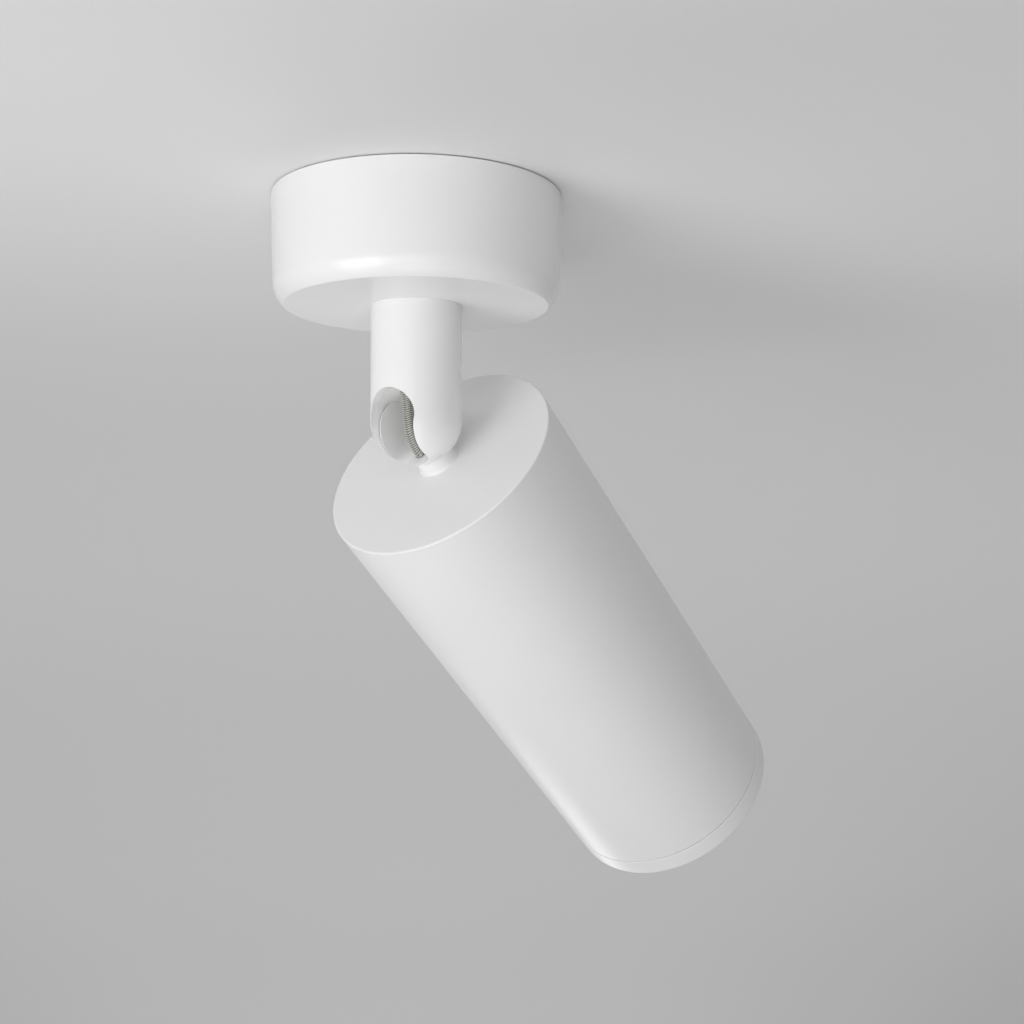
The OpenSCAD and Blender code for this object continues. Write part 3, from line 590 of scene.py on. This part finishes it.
def fork_cutter():
    close = 1e-6
    low = Vector((-fork_reach, -fork_width / 2, fork_floor))
    high = Vector((fork_reach, fork_width / 2, fork_reach))
    shape = bmesh.new()
    bmesh.ops.create_cube(shape, size=1)
    bmesh.ops.scale(shape, vec=high - low, verts=shape.verts)
    bmesh.ops.translate(shape, vec=(low + high) / 2, verts=shape.verts)
    floor_edges = [edge for edge in shape.edges
                   if all(abs(vert.co.z - low.z) < close for vert in edge.verts)
                   and abs(edge.verts[0].co.y - edge.verts[1].co.y) < close]
    bmesh.ops.bevel(shape, geom=floor_edges, offset=fork_round, offset_type="OFFSET", segments=12,
                    profile=0.5, affect="EDGES", material=-1)
    bmesh.ops.transform(shape, matrix=on_head, verts=shape.verts)
    return finished("fork_cutter", shape, gloss_paint)


cut_away(ball_part, fork_cutter())
hole_shape = rod(cable_hole, hole_top, hole_foot, steps=40)
bmesh.ops.transform(hole_shape, matrix=on_head, verts=hole_shape.verts)
cut_away(ball_part, finished("cable_hole", hole_shape, gloss_paint))
ease_edges(ball_part, ball_ease, segments=3)
ball_part.data.set_sharp_from_angle(angle=sharp_angle)
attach(ball_part, "spot_head")
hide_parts("ball_neck")


# The cable has a tight grey braid over its cores. It comes out of the pad, crosses the open slot
# and goes down into the fork; between the stem and the head it is drawn as one fixed bent piece.
braid_mean = (0.38, 0.375, 0.355)
# Painted shade and light: the braid's colour runs from near black in the hollows between its ribs
# to a light grey on their crowns, set by the height of the relief.
braid_painted_hollow_shade = (0.12, 0.118, 0.108)
braid_painted_crown_light = (0.55, 0.545, 0.51)
hollow_shade_share = 0.1
crown_light_share = 0.85
braid_roughness = 0.75
braid_sheen = 0.2
fibres_per_metre = 9000
fibre_depth = 0.00003


def braid_material():
    material, tree, shader = new_material("grey_braid_painted_shade", braid_mean, braid_roughness)
    height = tree.nodes.new("ShaderNodeAttribute")
    height.attribute_name = "relief"
    # The ramp paints shade into the hollows of the braid and light onto its crowns.
    ramp = tree.nodes.new("ShaderNodeValToRGB")
    ramp.color_ramp.elements[0].position = hollow_shade_share
    ramp.color_ramp.elements[0].color = (*braid_painted_hollow_shade, 1)
    ramp.color_ramp.elements[1].position = crown_light_share
    ramp.color_ramp.elements[1].color = (*braid_painted_crown_light, 1)
    place = tree.nodes.new("ShaderNodeTexCoord")
    fuzz = tree.nodes.new("ShaderNodeTexNoise")
    fuzz.inputs["Scale"].default_value = fibres_per_metre
    bump = tree.nodes.new("ShaderNodeBump")
    bump.inputs["Distance"].default_value = fibre_depth
    tree.links.new(height.outputs["Fac"], ramp.inputs["Fac"])
    tree.links.new(ramp.outputs["Color"], shader.inputs["Base Color"])
    tree.links.new(place.outputs["Object"], fuzz.inputs["Vector"])
    tree.links.new(fuzz.outputs["Fac"], bump.inputs["Height"])
    tree.links.new(bump.outputs["Normal"], shader.inputs["Normal"])
    shader.inputs["Sheen Weight"].default_value = braid_sheen
    return material


grey_braid_painted_shade = braid_material()
cable_radius = 0.00145
rib_pitch = 0.0005
rib_depth = 0.00012
braid_columns = 6
braid_slope = 0.8
braid_turn = math.radians(51)
column_edge = 0.35


def braid_height(angle, at):
    column = (angle - braid_turn) / (2 * math.pi) * braid_columns
    inside = column % 1
    slope = braid_slope if math.floor(column) % 2 else -braid_slope
    rib = 0.5 + 0.5 * math.cos(2 * math.pi * (at / rib_pitch + slope * (inside - 0.5)))
    return rib * (column_edge + (1 - column_edge) * math.sin(math.pi * inside) ** 0.5)


stem_points = [
    (0, -0.012), (0, -0.018), (0, -0.024), (0, -0.03), (-0.0002, -0.0335), (-0.0013, -0.037),
    (-0.00275, -0.0402), (-0.0034, -0.043), (-0.0035, -0.0455), (-0.0035, -0.048),
    (-0.0033, -0.0504), (-0.00305, -0.0528), (-0.0027, -0.0552), (-0.0021, -0.0576),
    (-0.001, -0.0596), (0.0003, -0.0611),
]
head_points = [
    (-0.0032, -0.0042), (-0.00305, -0.005), (-0.00205, -0.008), (-0.0011, -0.0109),
    (-0.0004, -0.014), (0, -0.018), (0, -0.026), (0, -0.034),
]
to_stem = on_stem.inverted() @ on_head
cable_points = [Vector((x, 0, z)) for x, z in stem_points]
cable_points += [to_stem @ Vector((x, 0, z)) for x, z in head_points]


def cable_piece(name, first, last, per_span, around):
    route = smooth_route(cable_points[first:last + 1], per_span)
    piece = tube(name, route, cable_radius, on_stem, grey_braid_painted_shade, around, braid_height, rib_depth)
    return piece


bend = cable_piece("cable_bend_braid", first=8, last=18, per_span=40, around=80)
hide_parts("cable_bend")
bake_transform(bend)
upper_cable = cable_piece("cable_stem_braid", first=0, last=8, per_span=8, around=40)
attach(upper_cable, "swivel_stem")
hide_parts("cable_stem")
lower_cable = cable_piece("cable_head_braid", first=18, last=23, per_span=8, around=40)
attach(lower_cable, "spot_head")
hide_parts("cable_head")


# The head is a drawn aluminium tube with a closed end. Its edge is broken by a small round, and
# the coat is satin.
head_radius = 0.03
head_length = 0.138
head_wall = 0.002
cap_height = neck_foot
cap_thickness = 0.003
cap_inner = cap_height - cap_thickness
front_height = cap_height - head_length
ring_height = 0.006
seam = 0.0003
tube_foot = front_height + ring_height + seam
bore_radius = head_radius - head_wall
stud_hole = 0.0042
cap_round = 0.0004
cap_inner_round = 0.0015
seam_round = 0.00015
head_shell = turned(
    "head_shell",
    [
        (stud_hole, cap_height), (head_radius, cap_height), (head_radius, tube_foot),
        (bore_radius, tube_foot), (bore_radius, cap_inner), (stud_hole, cap_inner),
    ],
    {1: (cap_round, 6), 2: (seam_round, 3), 3: (seam_round, 3), 4: (cap_inner_round, 6)},
    on_head, satin_paint, steps=256)
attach(head_shell, "spot_head")
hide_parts("head_housing", "head_cap_disc")


# The front ring pushes into the tube and is held by a rubber ring. Its lip stands in front of the
# lamp face, and its mouth flares to the edge.
ring_stop = front_height + ring_height
spigot_play = 0.0001
spigot_radius = bore_radius - spigot_play
ledge_depth = 0.0107
ledge_height = front_height + ledge_depth
ledge_thickness = 0.0016
lip_radius = 0.0224
mouth_rim = 0.0026
mouth_radius = head_radius - mouth_rim
groove_depth = 0.0082
groove_height = front_height + groove_depth
groove_half = 0.00055
groove_radius = 0.026925
mouth_round = 0.0003
front_round = 0.00075
spigot_round = 0.0005
lip_round = 0.0003
ring_shell = turned(
    "front_ring_shell",
    [
        (mouth_radius, front_height), (head_radius, front_height), (head_radius, ring_stop),
        (spigot_radius, ring_stop), (spigot_radius, groove_height - groove_half),
        (groove_radius, groove_height - groove_half),
        (groove_radius, groove_height + groove_half),
        (spigot_radius, groove_height + groove_half), (spigot_radius, ledge_height),
        (lip_radius, ledge_height), (lip_radius, ledge_height - ledge_thickness),
    ],
    {0: (mouth_round, 4), 1: (front_round, 6), 2: (seam_round, 3), 8: (spigot_round, 3),
     9: (lip_round, 3), 10: (lip_round, 3)},
    on_head, satin_paint, steps=256)
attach(ring_shell, "trim_ring")
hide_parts("front_ring")
black_rubber = grained_material("black_rubber", (0.03, 0.03, 0.03), roughness=0.6,
                                grain_per_metre=2000, depth=0.00001)
finish_nodes(black_rubber, "ring_o_ring")
silicone = grained_material("grey_silicone", (0.6, 0.6, 0.59), roughness=0.5,
                            grain_per_metre=1200, depth=0.00001)
finish_nodes(silicone, "lamp_seal")


# The lampholder is ceramic, hung on a steel strap from the closed end of the tube. Two covered
# leads run from the cable to its back.
ceramic = grained_material("steatite_ceramic", (0.78, 0.75, 0.67), roughness=0.55,
                           grain_per_metre=1400, depth=0.00002)
finish_nodes(ceramic, "lampholder", "holder_face")
lead_start = -0.0344
holder_back = -0.0652
lead_end = -0.0792
lead_spread = 0.005
lead_end_play = 0.00005
lead_straight = 0.001
lead_span = holder_back - lead_start
for lead, side in (("brown", 1), ("blue", -1)):
    points = [(side * core_radius, 0, lead_start),
              (side * lead_spread / 2, 0, lead_start + lead_span / 4),
              (side * lead_spread, 0, lead_start + lead_span / 2),
              (side * lead_spread, 0, lead_start + lead_span * 0.8),
              (side * lead_spread, 0, holder_back + lead_straight),
              (side * lead_spread, 0, lead_end + lead_end_play)]
    lead_tube = tube("lamp_lead_" + lead, smooth_route(points, core_spans), core_radius, on_head,
                     core_materials[lead], around=core_sides)
    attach(lead_tube, "spot_head")
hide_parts("lamp_leads")


# The lamp is a reflector lamp with a white body, a clear front lens with fine cells, a base and
# two nickel plated pins.
lamp_plastic = grained_material("lamp_body_plastic", (0.82, 0.82, 0.81), roughness=0.4,
                                grain_per_metre=1500, depth=0.000008)
finish_nodes(lamp_plastic, "lamp_body", "lamp_base")
nickel = grained_material("nickel_plate", (0.7, 0.68, 0.62), roughness=0.2,
                          grain_per_metre=1500, depth=0.000004, metallic=1.0)
finish_nodes(nickel, "lamp_pins")
lens_clearness = 0.9
lens_index = 1.49
lens_cells_per_metre = 500
lens_cell_depth = 0.0003
lens_glass, lens_tree, lens_shader = new_material("clear_lens", (0.95, 0.97, 0.98),
                                                  roughness=0.08)
lens_shader.inputs["Transmission Weight"].default_value = lens_clearness
lens_shader.inputs["IOR"].default_value = lens_index
lens_place = lens_tree.nodes.new("ShaderNodeTexCoord")
lens_cells = lens_tree.nodes.new("ShaderNodeTexVoronoi")
lens_cells.inputs["Scale"].default_value = lens_cells_per_metre
lens_bump = lens_tree.nodes.new("ShaderNodeBump")
lens_bump.inputs["Distance"].default_value = lens_cell_depth
lens_tree.links.new(lens_place.outputs["Object"], lens_cells.inputs["Vector"])
lens_tree.links.new(lens_cells.outputs["Distance"], lens_bump.inputs["Height"])
lens_tree.links.new(lens_bump.outputs["Normal"], lens_shader.inputs["Normal"])
finish_nodes(lens_glass, "lamp_lens")


# The ceiling that the light is mounted on, curving down into a pale wall far behind. Seen from
# above, its back is left open so that the top of the light shows, and so is the part in the cup.
ceiling_half_width = 3.0
ceiling_start = -1.5
ceiling_play = 0.00005
curve_start = 0.35
curve_radius = 2.2
curve_steps = 48
wall_height = 1
room_side = Vector((0, -1, -1))
cup_margin = 0.004
# Painted light and shade: the ceiling's colour is made lighter where the curve begins and darker
# farther along the curve, in a smooth ramp along its depth.
painted_light_start, painted_light_end = -0.2, 2.0
ceiling_painted_light = [
    (0, 0.79), (0.14, 0.8), (0.25, 0.86), (0.45, 0.88), (0.6, 0.82), (0.8, 0.8), (0.92, 0.72),
]
sheet = bmesh.new()
outline = [(ceiling_start, 0)]
outline += [(curve_start + curve_radius * math.sin(step * math.pi / (2 * curve_steps)),
             -curve_radius + curve_radius * math.cos(step * math.pi / (2 * curve_steps)))
            for step in range(curve_steps + 1)]
outline += [(curve_start + curve_radius, -curve_radius - wall_height)]
left_edge = [sheet.verts.new((-ceiling_half_width, y, z + ceiling_play)) for y, z in outline]
left_lines = [sheet.edges.new(pair) for pair in zip(left_edge, left_edge[1:])]
grown = bmesh.ops.extrude_edge_only(sheet, edges=left_lines)
moved = [item for item in grown["geom"] if isinstance(item, bmesh.types.BMVert)]
bmesh.ops.translate(sheet, vec=(2 * ceiling_half_width, 0, 0), verts=moved)
sheet.normal_update()
for face in sheet.faces:
    if face.normal.dot(room_side) < 0:
        face.normal_flip()
ceiling_paint_and_painted_light, ceiling_tree, ceiling_shader = new_material("ceiling_paint_and_painted_light", (0.8, 0.8, 0.8),
                                                           roughness=0.9)
ceiling_place = ceiling_tree.nodes.new("ShaderNodeTexCoord")
ceiling_parts = ceiling_tree.nodes.new("ShaderNodeSeparateXYZ")
ceiling_span = ceiling_tree.nodes.new("ShaderNodeMapRange")
ceiling_span.inputs["From Min"].default_value = painted_light_start
ceiling_span.inputs["From Max"].default_value = painted_light_end
# This ramp paints light and shade along the ceiling into its colour.
ceiling_painted_light_ramp = ceiling_tree.nodes.new("ShaderNodeValToRGB")
ceiling_painted_light_ramp.color_ramp.interpolation = "B_SPLINE"
for index, (share, tone) in enumerate(ceiling_painted_light):
    stops = ceiling_painted_light_ramp.color_ramp.elements
    stop = stops[index] if index < 2 else stops.new(share)
    stop.position = share
    stop.color = (tone, tone, tone, 1)
ceiling_tree.links.new(ceiling_place.outputs["Object"], ceiling_parts.inputs["Vector"])
ceiling_tree.links.new(ceiling_parts.outputs["Y"], ceiling_span.inputs["Value"])
ceiling_tree.links.new(ceiling_span.outputs["Result"], ceiling_painted_light_ramp.inputs["Fac"])
ceiling_tree.links.new(ceiling_painted_light_ramp.outputs["Color"], ceiling_shader.inputs["Base Color"])
back_side = ceiling_tree.nodes.new("ShaderNodeNewGeometry")
middle = ceiling_tree.nodes.new("ShaderNodeVectorMath")
middle.operation = "LENGTH"
ceiling_tree.links.new(ceiling_place.outputs["Object"], middle.inputs[0])
in_cup = ceiling_tree.nodes.new("ShaderNodeMath")
in_cup.operation = "LESS_THAN"
in_cup.inputs[1].default_value = canopy_radius - cup_margin
ceiling_tree.links.new(middle.outputs["Value"], in_cup.inputs[0])
opening = ceiling_tree.nodes.new("ShaderNodeMath")
opening.operation = "MAXIMUM"
ceiling_tree.links.new(back_side.outputs["Backfacing"], opening.inputs[0])
ceiling_tree.links.new(in_cup.outputs["Value"], opening.inputs[1])
clear = ceiling_tree.nodes.new("ShaderNodeBsdfTransparent")
choose = ceiling_tree.nodes.new("ShaderNodeMixShader")
output = ceiling_tree.nodes["Material Output"]
ceiling_tree.links.new(opening.outputs["Value"], choose.inputs["Fac"])
ceiling_tree.links.new(ceiling_shader.outputs["BSDF"], choose.inputs[1])
ceiling_tree.links.new(clear.outputs["BSDF"], choose.inputs[2])
ceiling_tree.links.new(choose.outputs["Shader"], output.inputs["Surface"])
ceiling = finished("ceiling", sheet, ceiling_paint_and_painted_light)


# Soft studio light: four broad panels in front, two of them on the left and two of them low, a
# broad one behind, a small weak one close on the left, and an even grey surround.
broad = 1.3
small = 0.24
small_spread = math.radians(100)
aim_point = Vector((0, 0, -0.06))
surround_grey = 0.305


def panel(name, place, size, power):
    data = bpy.data.lights.new(name, "AREA")
    data.shape = "SQUARE"
    data.size = size
    data.energy = power
    light = bpy.data.objects.new(name, data)
    light.location = place
    light.rotation_mode = "QUATERNION"
    light.rotation_quaternion = (aim_point - Vector(place)).to_track_quat("-Z", "Y")
    bpy.context.scene.collection.objects.link(light)
    return data


panel("left_panel", (-1.15, -2.16, -0.97), size=broad, power=7.5)
panel("front_panel", (0, -2.44, -0.97), size=broad, power=6.2)
panel("low_left_panel", (-1.31, -0.92, -2.13), size=broad, power=3.9)
panel("low_front_panel", (0, -1.6, -2.13), size=broad, power=7.4)
panel("back_panel", (0, 2.25, -1.38), size=broad, power=12.2)
near_panel = panel("near_panel", (-0.25, -0.24, -0.19), size=small, power=0.19)
near_panel.spread = small_spread
world = bpy.data.worlds.new("surround")
bpy.context.scene.world = world
world.use_nodes = True
world.node_tree.nodes["Background"].inputs["Color"].default_value = (
    surround_grey, surround_grey, surround_grey, 1)
world.node_tree.nodes["Background"].inputs["Strength"].default_value = 1
bpy.context.scene.view_settings.view_transform = "Standard"
